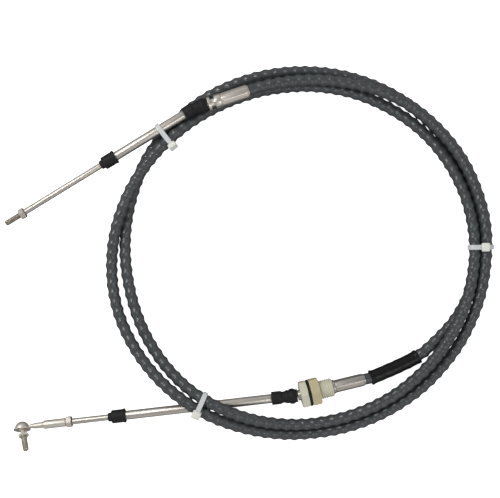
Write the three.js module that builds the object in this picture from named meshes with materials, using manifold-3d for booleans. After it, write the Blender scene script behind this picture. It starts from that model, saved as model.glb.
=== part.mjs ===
// Push-pull boat steering cable, wound into a loose coil of about two and a half turns and tied in
// three places. It lies on a level floor. Millimetres, +Z up. The origin is on the floor, below the
// middle of the box round the metal ends and the ties.

import * as THREE from 'three';
import { mergeVertices } from 'three/addons/utils/BufferGeometryUtils.js';
import Module from 'manifold-3d';

const wasm = await Module();
wasm.setup();

// Clearance between pieces that touch, and number of sides of a round piece
const clearance = 0.3;
const roundSides = 20;
const nutFlats = 6;

// Places that everything is set out from, measured from the middle of the coil
const coilMiddle = { x: 51.5, y: 5.0 };
const swivelA = new THREE.Vector3(-102.5, 153.9, 20.4);
const rodTipA = new THREE.Vector3(-293.2, 38.4, 12.6);
const hubStartA = new THREE.Vector3(-91.9, 156.1, 20.4);
const hubEndA = new THREE.Vector3(-51.3, 169.9, 19.8);
const swivelB = new THREE.Vector3(-2.5, -132.6, 15.7);
const towardsBallB = new THREE.Vector3(-278.3, -165.5, 8.5);
const hubEndB = new THREE.Vector3(64.6, -116.9, 12.1);

// Jacket: an even tube of the mean size of its corrugated skin
const jacketRadius = 5.6;
const jacketSides = 10;
const jacketStepLength = 35;
const jacketTailStepLength = 10;

// Black shrink sleeve on the jacket beside hub B
const sleeveLength = 52.9;
const sleeveWall = 1.0;
const sleeveFromHub = 5.5;

// The jacket leaves each hub straight for this length
const leadOut = 6;

// Route of the jacket from hub A to hub B: angle in degrees, radius and height of its middle line
const jacketRoute = [
  [100, 178.4, 18.9], [90, 180.2, 17.7], [80, 182.8, 16.8], [68, 186.4, 17.2],
  [56, 189.4, 17.8], [44, 190.0, 18.1], [32, 190.0, 17.9], [20, 188.5, 17.7], [10, 187.0, 17.5],
  [0, 184.0, 17.3], [-10, 182.0, 15.4], [-20, 180.3, 11.2], [-30, 178.8, 7.0], [-45, 175.8, 6.1],
  [-60, 173.3, 6.1], [-75, 172.1, 6.1], [-90, 172.6, 6.6], [-100, 173.6, 9.0], [-110, 174.7, 14.8],
  [-119, 176.0, 22.3], [-126, 177.6, 24.7], [-133, 179.6, 23.8], [-142, 182.8, 17.6],
  [-152, 186.2, 10.6], [-162, 188.6, 7.0], [-172, 189.2, 6.4], [-182, 188.3, 8.6], [-191, 186.4, 13.2],
  [-201, 183.7, 17.6], [-210, 181.4, 18.4], [-218, 179.6, 17.6], [-225, 178.0, 15.6],
  [-231, 177.4, 11.6], [-238, 176.7, 7.6], [-248, 175.8, 6.1],
  [-260, 175.7, 6.1], [-275, 176.7, 6.1], [-290, 177.9, 6.1], [-305, 179.0, 6.1], [-317, 179.1, 9.2],
  [-329, 178.0, 12.8], [-341, 176.4, 15.5], [-353, 174.3, 17.0], [-362, 171.9, 17.8],
  [-371, 169.7, 18.2], [-380, 167.9, 17.3], [-390, 166.0, 14.2], [-401, 164.4, 12.3],
  [-415, 162.6, 12.1], [-430, 161.3, 12.1], [-445, 161.6, 12.2], [-456, 162.4, 13.8],
  [-466, 163.0, 18.8], [-474, 163.6, 23.1], [-481, 164.6, 24.7], [-488, 166.4, 23.6],
  [-497, 168.2, 18.0], [-507, 170.0, 11.0], [-518, 171.4, 7.0], [-530, 172.7, 6.1], [-543, 175.5, 6.1],
  [-556, 179.2, 6.1], [-570, 183.7, 6.5], [-579, 186.1, 7.3], [-587, 187.5, 7.1], [-600, 189.4, 6.1],
  [-615, 190.1, 6.1], [-630, 190.9, 6.1], [-645, 191.8, 6.1], [-660, 192.1, 6.1], [-675, 191.3, 6.1],
  [-690, 188.8, 6.1], [-702, 185.2, 6.6], [-714, 181.3, 7.23], [-724, 176.9, 6.9], [-733, 171.3, 6.3],
  [-741, 165.6, 6.2], [-749, 158.6, 6.5], [-758, 151.7, 7.6], [-767.5, 142.6, 9.4],
];

// Sleeve tube, wiper seal, rod and jam nut, the same at both ends
const rodRadius = 3.0;
const rodSides = 16;
const tubeRadius = 4.5;
const tubeStart = 7;
const sealLength = 17.5;
const sealNoseLength = 2.5;
const sealNoseWall = 1.0;
const sealWall = 1.8;
const sealConeLength = 1.4;
const sealLipFlare = 0.4;
const sealLipLength = 3.2;
const sealOnTube = 9;
const jamNutAcrossFlats = 10;
const jamNutLength = 5.4;
const threadRadius = 2.8;
const tipChamfer = 0.8;

// Distances out from each swivel, and how much rod is in its tube
const sealNoseA = 112.2;
const jamNutA = 201.2;
const rodInTubeA = 32;
const rodLengthPastNutA = 16.8;
const sealNoseB = 190.5;
const jamNutB = 227.2;
const rodInTubeB = 75;

// Rubber boots on the swivels
const bootWall = 1.75;
const bootWaist = 0.95;
const bootBulge = 1.15;
const bootHubRoom = 20;
const bootOnTubeA = 14.6;
const bootOnTubeB = 26.2;

// Hub A: flange, groove for the anchor, collar, crimped octagon and end ring
const flangeRadius = 7.2;
const flangeLength = 3.2;
const grooveRadius = 4.2;
const grooveLength = 4.4;
const collarRadius = 6.85;
const collarLength = 6.3;
const crimpFlats = 8;
const crimpLap = 0.5;
const crimpAcrossFlatsA = 12.4;
const endRingRadius = 5.7;
const endRingLengthA = 1.0;

// Hub B: shank through the hull fitting, thrust ring, crimped octagon and end ring
const hubShankRadius = 5.3;
const fittingStart = 2.7;
const fittingHeadLength = 7.5;
const fittingHeadAcrossFlats = 24.6;
const fittingThreadRadius = 9.3;
const fittingThreadLength = 25.5;
const gasketLength = 2.0;
const gasketRadius = 13.3;
const lockNutLength = 9.4;
const lockNutAcrossFlats = 25.1;
const lockNutTurn = 0;
const thrustRingRadius = 6.9;
const thrustRingLength = 2.2;
const crimpAcrossFlatsB = 12.1;
const endRingLengthB = 1.5;

// Ball joint on rod B
const ballRadius = 4.0;
const ballSteps = 8;
const ballNeckRadius = 2.2;
const domeWall = 2.9;
const domeOffset = 1.5;
const brimWidth = 1.15;
const brimStart = 1.7;
const brimLength = 1.2;
const jointMouthStart = 2.0;
const jointMouthFlare = 0.45;
const headRoll = 25;
const studRoll = 38;
const studLean = 12;
const studCollarStart = 8.3;
const studCollarLength = 2.5;
const studCollarAcrossFlats = 9.4;
const studLength = 26.5;
const studRadius = 2.75;
const barrelWall = 1.15;
const barrelLength = 23.2;
const barrelChamfer = 0.8;
const rodThreadInBarrel = 14;
const neckRootRadius = 2.9;
const neckTipRadius = 1.7;
const neckRootLength = 8.4;
const neckTaperLength = 6.0;

// Cable ties: where each crosses the coil, which way its band faces, which strand its head sits on,
// as the one that reaches furthest that way, and which side of that strand the head is on
const tieWidth = 4.8;
const tieThickness = 1.2;
const tieHead = { along: 8.2, across: 8.6, height: 5.4 };
const tieHeadLift = 0.2;
const tieCircleSides = 24;
const tieReach = 20;
const tieRadius1 = 185;
const tieRadius2 = 180;
const tieRadius3 = 173;
const ties = [
  { name: 'cable_tie_1', angle: 137, radius: tieRadius1, facing: 128, seatAt: 150, headAt: 150 },
  { name: 'cable_tie_2', angle: 4.7, radius: tieRadius2, facing: 1, seatAt: 80, headAt: 108 },
  { name: 'cable_tie_3', angle: 235, radius: tieRadius3, facing: 246, seatAt: 62, headAt: 62 },
];

// Finishes
const finishes = {
  jacket: { color: 0x565b60, roughness: 0.55, metalness: 0.0 },
  rubber: { color: 0x232325, roughness: 0.75, metalness: 0.0 },
  steel: { color: 0xb9b4ab, roughness: 0.3, metalness: 1.0 },
  fitting: { color: 0xcfcbb4, roughness: 0.5, metalness: 0.0 },
  nut: { color: 0xc3b98c, roughness: 0.5, metalness: 0.0 },
  nylon: { color: 0xe4e6e4, roughness: 0.4, metalness: 0.0 },
};

const radians = THREE.MathUtils.degToRad;

function piece(name, geometry, finish) {
  const mesh = new THREE.Mesh(geometry, new THREE.MeshStandardMaterial(finishes[finish]));
  mesh.name = name;
  return mesh;
}

// A turned solid about the local X axis. The outline lists [x, radius] with x rising on the outside.
function turned(outline, sides = roundSides) {
  const points = outline.map(([x, radius]) => new THREE.Vector2(radius, x));
  return new THREE.LatheGeometry(points, sides).rotateZ(-Math.PI / 2);
}

// The same with a bore right through
function bored(outline, boreRadius, sides = roundSides) {
  const first = outline[0][0];
  const last = outline[outline.length - 1][0];
  return turned([[first, boreRadius], ...outline, [last, boreRadius], [first, boreRadius]], sides);
}

// A prism along the local X axis with the given distance across its flats. Turn 0 puts a corner up.
function prism(corners, acrossFlats, from, to, turn = 0) {
  const cornerRadius = acrossFlats / 2 / Math.cos(Math.PI / corners);
  const bar = new THREE.CylinderGeometry(cornerRadius, cornerRadius, to - from, corners);
  bar.rotateZ(-Math.PI / 2).translate((from + to) / 2, 0, 0);
  return bar.rotateX(radians(turn));
}

// A plain cylinder along the local X axis, for cutting
function plug(radius, from, to) {
  return turned([[from, 0], [from, radius], [to, radius], [to, 0]]);
}

function solid(geometry) {
  const bare = new THREE.BufferGeometry();
  bare.setAttribute('position', geometry.getAttribute('position'));
  bare.setIndex(geometry.getIndex());
  const merged = mergeVertices(bare, 1e-4);
  const corners = merged.getIndex().array;
  const kept = [];
  for (let i = 0; i < corners.length; i += 3) {
    const [a, b, c] = corners.slice(i, i + 3);
    if (a !== b && b !== c && c !== a) kept.push(a, b, c);
  }
  const vertProperties = Float32Array.from(merged.getAttribute('position').array);
  return new wasm.Manifold(new wasm.Mesh({ numProp: 3, vertProperties, triVerts: Uint32Array.from(kept) }));
}

function geometryOf(body) {
  const mesh = body.getMesh();
  const geometry = new THREE.BufferGeometry();
  geometry.setAttribute('position', new THREE.BufferAttribute(mesh.vertProperties, 3));
  geometry.setIndex(new THREE.BufferAttribute(mesh.triVerts, 1));
  const faceted = geometry.toNonIndexed();
  faceted.computeVertexNormals();
  return faceted;
}

function joined(...geometries) {
  return geometryOf(geometries.map(solid).reduce((sum, next) => sum.add(next)));
}

function cut(geometry, ...tools) {
  return geometryOf(tools.map(solid).reduce((rest, tool) => rest.subtract(tool), solid(geometry)));
}

// A frame at one place with its X axis towards another, its Y axis level and its Z axis up
function frameBetween(from, to) {
  const way = to.clone().sub(from);
  const yaw = Math.atan2(way.y, way.x);
  const pitch = Math.asin(way.z / way.length());
  const turn = new THREE.Quaternion().setFromEuler(new THREE.Euler(0, -pitch, yaw, 'ZYX'));
  return new THREE.Matrix4().compose(from, turn, new THREE.Vector3(1, 1, 1));
}

function groupAt(frame) {
  const group = new THREE.Group();
  frame.decompose(group.position, group.quaternion, group.scale);
  return group;
}

function within(frame, otherFrame, geometry) {
  return geometry.applyMatrix4(frame.clone().invert().multiply(otherFrame));
}

function ring(sides, radius) {
  const points = [];
  for (let i = 0; i < sides; i += 1) {
    const angle = (i / sides) * 2 * Math.PI;
    points.push(new THREE.Vector2(radius * Math.cos(angle), radius * Math.sin(angle)));
  }
  return points;
}

function atAngle(angle, radius, height) {
  return new THREE.Vector3(
    radius * Math.cos(radians(angle)),
    radius * Math.sin(radians(angle)),
    height,
  );
}

// Part of a curve, between two distances along it
class Stretch extends THREE.Curve {
  constructor(curve, from, to) {
    super();
    this.curve = curve;
    this.from = from / curve.getLength();
    this.to = to / curve.getLength();
  }

  getPoint(t, target = new THREE.Vector3()) {
    const along = THREE.MathUtils.clamp(this.from + (this.to - this.from) * t, 0, 1);
    return this.curve.getPointAt(along, target);
  }
}

// Frames of the straight stretches
const sideA = frameBetween(swivelA, rodTipA);
const sideB = frameBetween(swivelB, towardsBallB);
const hubA = frameBetween(hubStartA, hubEndA);
const hubB = frameBetween(swivelB, hubEndB);
const hubLengthA = hubStartA.distanceTo(hubEndA);
const hubLengthB = swivelB.distanceTo(hubEndB);
const socketAt = jamNutB + jamNutLength + clearance;
const ballRoom = ballRadius + clearance;
const domeRadius = ballRoom + domeWall;
const ballAt = socketAt + barrelLength + neckRootLength + neckTaperLength + domeRadius;

const jacketStart = new THREE.Vector3(hubLengthA + clearance, 0, 0).applyMatrix4(hubA);
const jacketLead = new THREE.Vector3(hubLengthA + leadOut, 0, 0).applyMatrix4(hubA);
const jacketEnd = new THREE.Vector3(hubLengthB + clearance, 0, 0).applyMatrix4(hubB);
const sleeveEnd = new THREE.Vector3(hubLengthB + leadOut, 0, 0).applyMatrix4(hubB);
const route = new THREE.CatmullRomCurve3([
  jacketStart,
  jacketLead,
  ...jacketRoute.map(([angle, radius, height]) => atAngle(angle, radius, height)),
  sleeveEnd,
  jacketEnd,
], false, 'centripetal');
route.arcLengthDivisions = 4000;
const routeLength = route.getLength();
const sleeveAt = routeLength - sleeveFromHub - sleeveLength;

const coilStretch = new Stretch(route, 0, sleeveAt);
const tailStretch = new Stretch(route, sleeveAt - 1, routeLength);
const coilSteps = Math.round(sleeveAt / jacketStepLength);
const tailSteps = Math.round((routeLength - sleeveAt) / jacketTailStepLength);

function swept(stretch, steps, outline, hole) {
  const section = new THREE.Shape(outline);
  if (hole) section.holes.push(new THREE.Path(hole));
  return new THREE.ExtrudeGeometry(section, { steps, extrudePath: stretch, bevelEnabled: false });
}

function makeJacket() {
  const outline = ring(jacketSides, jacketRadius);
  const coil = swept(coilStretch, coilSteps, outline);
  const tail = swept(tailStretch, tailSteps, outline);
  return piece('jacket', joined(coil, tail), 'jacket');
}

function makeCableSleeve() {
  const stretch = new Stretch(route, sleeveAt, sleeveAt + sleeveLength);
  const bore = ring(jacketSides, jacketRadius + clearance).reverse();
  const geometry = swept(stretch, tailSteps, ring(roundSides, jacketRadius + clearance + sleeveWall), bore);
  return piece('cable_sleeve', geometry, 'rubber');
}

// Sleeve tube from inside the boot to inside the seal
function makeSleeveTube(name, sealNose) {
  const mouth = sealNose - sealLength + sealOnTube;
  const outline = [[tubeStart, tubeRadius], [mouth, tubeRadius]];
  return piece(name, bored(outline, rodRadius + clearance), 'steel');
}

// Rubber seal over the tube's mouth, wiping the rod with its nose
function makeWiperSeal(name, sealNose) {
  const lip = sealNose - sealLength;
  const mouth = lip + sealOnTube + clearance;
  const coneStart = sealNose - sealNoseLength - sealConeLength;
  const onTube = tubeRadius + clearance;
  const onRod = rodRadius + clearance;
  const outer = onTube + sealWall;
  const nose = onRod + sealNoseWall;
  const outline = [
    [lip, onTube], [lip, outer + sealLipFlare], [lip + sealLipLength, outer], [coneStart, outer],
    [sealNose - sealNoseLength, nose], [sealNose, nose], [sealNose, onRod],
    [mouth, onRod], [mouth, onTube], [lip, onTube],
  ];
  return piece(name, turned(outline), 'rubber');
}

function makeJamNut(name, start) {
  const end = start + jamNutLength;
  const nut = prism(nutFlats, jamNutAcrossFlats, start, end);
  return piece(name, cut(nut, plug(threadRadius + clearance, start - 1, end + 1)), 'steel');
}

// Rod from its end in the tube to its threaded stud, which starts at the nut and ends past it
function makeRod(name, sealNose, inTube, nutStart, pastNut) {
  const inner = sealNose - sealLength + sealOnTube - inTube;
  const thread = nutStart - clearance;
  const tip = nutStart + jamNutLength + pastNut;
  const outline = [
    [inner, 0], [inner, rodRadius], [thread, rodRadius], [thread, threadRadius],
    [tip - tipChamfer, threadRadius], [tip, threadRadius - tipChamfer], [tip, 0],
  ];
  return piece(name, turned(outline, rodSides), 'steel');
}

// Rubber boot from the tube to the hub's face, waisted where it bends
function makeSwivelBoot(name, side, hub, onTube) {
  const outboard = new THREE.Vector3(onTube, 0, 0).applyMatrix4(side);
  const hubFace = new THREE.Vector3().applyMatrix4(hub);
  const frame = frameBetween(outboard, hubFace);
  const length = outboard.distanceTo(hubFace);
  const past = length + 2;
  const bore = tubeRadius + clearance;
  const cuff = bore + bootWall;
  const outline = [
    [0, 0], [0, cuff], [0.36 * length, cuff], [0.46 * length, cuff - bootWaist],
    [0.62 * length, cuff], [0.75 * length, cuff + bootBulge], [0.86 * length, cuff + bootBulge],
    [length, cuff], [past, cuff], [past, 0],
  ];
  const tube = plug(bore, tubeStart - clearance, onTube + bootHubRoom);
  const hubRoom = plug(bootHubRoom, -clearance, bootHubRoom);
  const boot = cut(turned(outline), within(frame, side, tube), within(frame, hub, hubRoom));
  const mesh = piece(name, boot, 'rubber');
  const group = groupAt(frame);
  group.add(mesh);
  return group;
}

function makeEndHubA() {
  const groove = flangeLength;
  const collar = groove + grooveLength;
  const crimp = collar + collarLength;
  const endRing = hubLengthA - endRingLengthA;
  const body = turned([
    [0, 0], [0, flangeRadius], [groove, flangeRadius], [groove, grooveRadius], [collar, grooveRadius],
    [collar, collarRadius], [crimp, collarRadius], [crimp, endRingRadius],
    [hubLengthA, endRingRadius], [hubLengthA, 0],
  ]);
  const octagon = prism(crimpFlats, crimpAcrossFlatsA, crimp - crimpLap, endRing, 180 / crimpFlats);
  return piece('end_hub_a', joined(body, octagon), 'steel');
}

const fittingEnd = fittingStart + fittingHeadLength + fittingThreadLength;

function makeEndHubB() {
  const ringStart = fittingEnd + clearance;
  const crimp = ringStart + thrustRingLength;
  const endRing = hubLengthB - endRingLengthB;
  const body = turned([
    [0, 0], [0, hubShankRadius], [ringStart, hubShankRadius], [ringStart, thrustRingRadius],
    [crimp, thrustRingRadius], [crimp, endRingRadius], [hubLengthB, endRingRadius], [hubLengthB, 0],
  ]);
  const octagon = prism(crimpFlats, crimpAcrossFlatsB, crimp - crimpLap, endRing);
  return piece('end_hub_b', joined(body, octagon), 'steel');
}

function makeHullFitting() {
  const headEnd = fittingStart + fittingHeadLength;
  const head = prism(nutFlats, fittingHeadAcrossFlats, fittingStart, headEnd);
  const shank = plug(fittingThreadRadius, headEnd - 1, fittingEnd);
  const bore = plug(hubShankRadius + clearance, 0, fittingEnd + 1);
  return piece('hull_fitting', cut(joined(head, shank), bore), 'fitting');
}

function makeHullGasket() {
  const start = fittingStart + fittingHeadLength + clearance;
  const outline = [[start, gasketRadius], [start + gasketLength, gasketRadius]];
  return piece('hull_gasket', bored(outline, fittingThreadRadius + clearance), 'rubber');
}

function makeLockNut() {
  const start = fittingStart + fittingHeadLength + gasketLength + 2 * clearance;
  const end = start + lockNutLength;
  const nut = prism(nutFlats, lockNutAcrossFlats, start, end, lockNutTurn);
  const bore = plug(fittingThreadRadius + clearance, start - 1, end + 1);
  return piece('lock_nut', cut(nut, bore), 'nut');
}

// Solid of revolution about the local Y axis, for the ball joint's head and stud
function turnedUp(outline, sides = roundSides) {
  return turned(outline, sides).rotateZ(Math.PI / 2);
}

function ballJointFrame(roll) {
  return new THREE.Matrix4().makeRotationX(radians(roll)).setPosition(ballAt, 0, 0);
}

// Outline of a ball's back half and flank, up to the given angle from its back
function ballOutline(radius, upTo, steps, offset = 0) {
  const outline = [[offset - radius, 0]];
  for (let i = 1; i <= steps; i += 1) {
    const angle = radians((upTo * i) / steps);
    outline.push([offset - radius * Math.cos(angle), radius * Math.sin(angle)]);
  }
  return outline;
}

// Socket fitting on rod B: threaded barrel, tapering neck, and a domed head round the ball
function makeBallSocket() {
  const threadRoom = threadRadius + clearance;
  const barrelRadius = threadRoom + barrelWall;
  const barrelEnd = socketAt + barrelLength;
  const neckEnd = ballAt - ballRoom - domeWall / 3;
  const stem = turned([
    [socketAt, 0], [socketAt, barrelRadius - barrelChamfer],
    [socketAt + barrelChamfer, barrelRadius], [barrelEnd - barrelChamfer, barrelRadius],
    [barrelEnd, neckRootRadius], [barrelEnd + neckRootLength, neckRootRadius],
    [ballAt - domeRadius, neckTipRadius], [neckEnd, neckTipRadius], [neckEnd, 0],
  ]);
  const brimEnd = brimStart + brimLength;
  const brimRadius = domeRadius + brimWidth;
  const head = turnedUp([
    ...ballOutline(domeRadius, 90, ballSteps, domeOffset), [brimStart, domeRadius], [brimStart, brimRadius],
    [brimEnd, brimRadius], [brimEnd, 0],
  ]);
  const mouthRadius = Math.sqrt(ballRoom ** 2 - jointMouthStart ** 2);
  const mouthEnd = brimEnd + 1;
  const mouth = turnedUp([
    [0, 0], [0, mouthRadius - 1], [jointMouthStart, mouthRadius],
    [mouthEnd, mouthRadius + jointMouthFlare * (mouthEnd - jointMouthStart)], [mouthEnd, 0],
  ]);
  const cavity = new THREE.SphereGeometry(ballRoom, roundSides, 2 * ballSteps);
  const inJoint = [head, mouth, cavity].map((geometry) => geometry.applyMatrix4(ballJointFrame(headRoll)));
  const bore = plug(threadRoom, socketAt - 1, socketAt + rodThreadInBarrel + clearance);
  const body = cut(joined(stem, inJoint[0]), inJoint[1], inJoint[2], bore);
  return piece('ball_socket', body, 'steel');
}

// Stud with its ball, neck, hexagon collar and plain-threaded end
function makeBallStud() {
  const neckAngle = 180 - THREE.MathUtils.radToDeg(Math.asin(ballNeckRadius / ballRadius));
  const collarEnd = studCollarStart + studCollarLength;
  const inCollar = studCollarStart + studCollarLength / 2;
  const body = turnedUp([
    ...ballOutline(ballRadius, neckAngle, ballSteps), [inCollar, ballNeckRadius], [inCollar, studRadius],
    [studLength - tipChamfer, studRadius], [studLength, studRadius - tipChamfer], [studLength, 0],
  ], rodSides);
  const collar = prism(nutFlats, studCollarAcrossFlats, studCollarStart, collarEnd).rotateZ(Math.PI / 2);
  const group = groupAt(ballJointFrame(studRoll));
  const leaning = new THREE.Group();
  leaning.rotation.z = radians(studLean);
  leaning.add(piece('ball_stud', joined(body, collar), 'steel'));
  group.add(leaning);
  return group;
}

// Where a round piece passes through a tie's band, as circles on the tie's upright plane. The piece is
// taken as balls along its middle line, and each ball leaves the circle that the band's width cuts.
function circlesInBand(plane, points, radius) {
  const circles = [];
  const toPlane = plane.clone().invert();
  for (const point of points) {
    const local = point.clone().applyMatrix4(toPlane);
    const outside = Math.max(Math.abs(local.y) - tieWidth / 2, 0);
    const near = Math.abs(local.x) < tieReach;
    if (near && outside < radius) {
      circles.push({ x: local.x, z: local.z, radius: Math.sqrt(radius ** 2 - outside ** 2) });
    }
  }
  return circles;
}

function finePoints(points, spacing = 1) {
  const fine = [];
  for (let i = 1; i < points.length; i += 1) {
    const parts = Math.ceil(points[i - 1].distanceTo(points[i]) / spacing);
    for (let part = 0; part < parts; part += 1) {
      fine.push(points[i - 1].clone().lerp(points[i], part / parts));
    }
  }
  return fine;
}

// The taut outline round circles that are grown by a margin
function hullRound(circles, margin) {
  const points = circles.flatMap((circle) => ring(tieCircleSides, circle.radius + margin)
    .map((point) => point.add(new THREE.Vector2(circle.x, circle.z))));
  points.sort((a, b) => a.x - b.x || a.y - b.y);
  const turnsLeft = (a, b, c) => (b.x - a.x) * (c.y - a.y) - (b.y - a.y) * (c.x - a.x) > 1e-6;
  const half = (list) => {
    const chain = [];
    for (const point of list) {
      while (chain.length > 1 && !turnsLeft(chain[chain.length - 2], chain[chain.length - 1], point)) {
        chain.pop();
      }
      chain.push(point);
    }
    chain.pop();
    return chain;
  };
  return [...half(points), ...half([...points].reverse())];
}

function makeTie({ name, angle, radius, facing, seatAt, headAt }) {
  const plane = new THREE.Matrix4().makeRotationZ(radians(facing)).setPosition(atAngle(angle, radius, 0));
  const strands = finePoints(coilStretch.getSpacedPoints(coilSteps));
  const tubeA = finePoints([swivelA, rodTipA]);
  const tubeB = finePoints([swivelB, towardsBallB]);
  const circles = [
    ...circlesInBand(plane, strands, jacketRadius),
    ...circlesInBand(plane, tubeA, tubeRadius),
    ...circlesInBand(plane, tubeB, tubeRadius),
  ];
  const band = new THREE.Shape(hullRound(circles, clearance + tieThickness));
  band.holes.push(new THREE.Path(hullRound(circles, clearance).reverse()));
  const strap = new THREE.ExtrudeGeometry(band, { depth: tieWidth, bevelEnabled: false });
  strap.translate(0, 0, -tieWidth / 2).rotateX(Math.PI / 2);

  const way = new THREE.Vector2(Math.cos(radians(seatAt)), Math.sin(radians(seatAt)));
  const reach = (circle) => circle.x * way.x + circle.z * way.y + circle.radius;
  const seat = circles.reduce((best, circle) => (reach(circle) > reach(best) ? circle : best));
  const head = new THREE.BoxGeometry(tieHead.height, tieHead.across, tieHead.along);
  const lift = seat.radius + clearance + tieHead.height / 2 + tieHeadLift;
  head.translate(lift, 0, 0).rotateY(-radians(headAt));
  head.translate(seat.x, 0, seat.z);
  const group = groupAt(plane);
  group.add(piece(name, joined(strap, head), 'nylon'));
  return group;
}

const cable = new THREE.Group();
cable.name = 'boat_steering_cable';

const endA = groupAt(sideA);
endA.add(
  makeSleeveTube('sleeve_tube_a', sealNoseA),
  makeWiperSeal('wiper_seal_a', sealNoseA),
  makeRod('rod_a', sealNoseA, rodInTubeA, jamNutA, rodLengthPastNutA),
  makeJamNut('jam_nut_a', jamNutA),
);

const endB = groupAt(sideB);
endB.add(
  makeSleeveTube('sleeve_tube_b', sealNoseB),
  makeWiperSeal('wiper_seal_b', sealNoseB),
  makeRod('rod_b', sealNoseB, rodInTubeB, jamNutB, clearance + rodThreadInBarrel),
  makeJamNut('jam_nut_b', jamNutB),
  makeBallSocket(),
  makeBallStud(),
);

const hubGroupA = groupAt(hubA);
hubGroupA.add(makeEndHubA());

const hubGroupB = groupAt(hubB);
hubGroupB.add(makeEndHubB(), makeHullFitting(), makeHullGasket(), makeLockNut());

cable.add(
  makeJacket(),
  makeCableSleeve(),
  endA,
  endB,
  hubGroupA,
  hubGroupB,
  makeSwivelBoot('swivel_boot_a', sideA, hubA, bootOnTubeA),
  makeSwivelBoot('swivel_boot_b', sideB, hubB, bootOnTubeB),
  ...ties.map(makeTie),
);
cable.position.set(coilMiddle.x, coilMiddle.y, 0);

export default cable;
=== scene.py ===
"""Detailed look of a coiled boat steering cable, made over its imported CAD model.

Lengths in the making functions are millimetres in the frame of the CAD model. Each finished mesh is
brought to metres once, just before it becomes an object.
"""

import math
from types import SimpleNamespace

import bmesh
import bpy
from bpy.props import FloatProperty, FloatVectorProperty, IntProperty, PointerProperty
from bpy.types import Operator, Panel, PropertyGroup
from mathutils import Matrix, Vector, noise


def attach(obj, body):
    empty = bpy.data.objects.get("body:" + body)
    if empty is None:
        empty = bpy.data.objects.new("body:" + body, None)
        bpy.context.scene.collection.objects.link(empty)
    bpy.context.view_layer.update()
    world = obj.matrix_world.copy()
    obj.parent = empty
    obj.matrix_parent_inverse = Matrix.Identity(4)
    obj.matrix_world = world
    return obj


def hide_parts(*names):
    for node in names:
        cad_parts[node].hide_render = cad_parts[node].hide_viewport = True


bl_info = {
    "name": "Boat Steering Cable",
    "version": (1, 0, 0),
    "blender": (4, 5, 0),
    "location": "3D View > Sidebar > Steering Cable",
    "description": "Makes the jacket, ends, fittings and ties of a coiled steering cable",
    "category": "Object",
}

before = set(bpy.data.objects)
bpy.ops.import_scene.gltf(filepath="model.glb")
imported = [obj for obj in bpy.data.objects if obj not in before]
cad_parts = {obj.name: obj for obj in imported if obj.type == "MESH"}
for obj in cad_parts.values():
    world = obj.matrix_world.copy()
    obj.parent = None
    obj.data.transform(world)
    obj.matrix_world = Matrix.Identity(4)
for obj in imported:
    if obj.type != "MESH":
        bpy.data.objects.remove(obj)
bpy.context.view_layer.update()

CLEARANCE = 0.3
UP = Vector((0, 0, 1))

# Places that everything is set out from, measured from the middle of the coil
COIL_MIDDLE = Vector((51.5, 5.0, 0.0))
SWIVEL_A = Vector((-102.5, 153.9, 20.4))
ROD_TIP_A = Vector((-293.2, 38.4, 12.6))
HUB_START_A = Vector((-91.9, 156.1, 20.4))
HUB_END_A = Vector((-51.3, 169.9, 19.8))
SWIVEL_B = Vector((-2.5, -132.6, 15.7))
TOWARDS_BALL_B = Vector((-278.3, -165.5, 8.5))
HUB_END_B = Vector((64.6, -116.9, 12.1))

# Middle line of the jacket from hub A to hub B: angle in degrees, radius, height
JACKET_ROUTE = (
    (100, 178.4, 18.9), (90, 180.2, 17.7), (80, 182.8, 16.8), (68, 186.4, 17.2), (56, 189.4, 17.8),
    (44, 190.0, 18.1), (32, 190.0, 17.9), (20, 188.5, 17.7), (10, 187.0, 17.5), (0, 184.0, 17.3),
    (-10, 182.0, 15.4), (-20, 180.3, 11.2), (-30, 178.8, 7.0), (-45, 175.8, 6.1), (-60, 173.3, 6.1),
    (-75, 172.1, 6.1), (-90, 172.6, 6.6), (-100, 173.6, 9.0), (-110, 174.7, 14.8), (-119, 176.0, 22.3),
    (-126, 177.6, 24.7), (-133, 179.6, 23.8), (-142, 182.8, 17.6), (-152, 186.2, 10.6),
    (-162, 188.6, 7.0), (-172, 189.2, 6.4), (-182, 188.3, 8.6), (-191, 186.4, 13.2),
    (-201, 183.7, 17.6), (-210, 181.4, 18.4), (-218, 179.6, 17.6), (-225, 178.0, 15.6),
    (-231, 177.4, 11.6), (-238, 176.7, 7.6), (-248, 175.8, 6.1), (-260, 175.7, 6.1),
    (-275, 176.7, 6.1), (-290, 177.9, 6.1), (-305, 179.0, 6.1), (-317, 179.1, 9.2),
    (-329, 178.0, 12.8), (-341, 176.4, 15.5), (-353, 174.3, 17.0), (-362, 171.9, 17.8),
    (-371, 169.7, 18.2), (-380, 167.9, 17.3), (-390, 166.0, 14.2), (-401, 164.4, 12.3),
    (-415, 162.6, 12.1), (-430, 161.3, 12.1), (-445, 161.6, 12.2), (-456, 162.4, 13.8),
    (-466, 163.0, 18.8), (-474, 163.6, 23.1), (-481, 164.6, 24.7), (-488, 166.4, 23.6),
    (-497, 168.2, 18.0), (-507, 170.0, 11.0), (-518, 171.4, 7.0), (-530, 172.7, 6.1),
    (-543, 175.5, 6.1), (-556, 179.2, 6.1), (-570, 183.7, 6.5), (-579, 186.1, 7.3),
    (-587, 187.5, 7.1), (-600, 189.4, 6.1), (-615, 190.1, 6.1), (-630, 190.9, 6.1),
    (-645, 191.8, 6.1), (-660, 192.1, 6.1), (-675, 191.3, 6.1), (-690, 188.8, 6.1),
    (-702, 185.2, 6.6), (-714, 181.3, 7.23), (-724, 176.9, 6.9), (-733, 171.3, 6.3),
    (-741, 165.6, 6.2), (-749, 158.6, 6.5), (-758, 151.7, 7.6), (-767.5, 142.6, 9.4),
)

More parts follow.
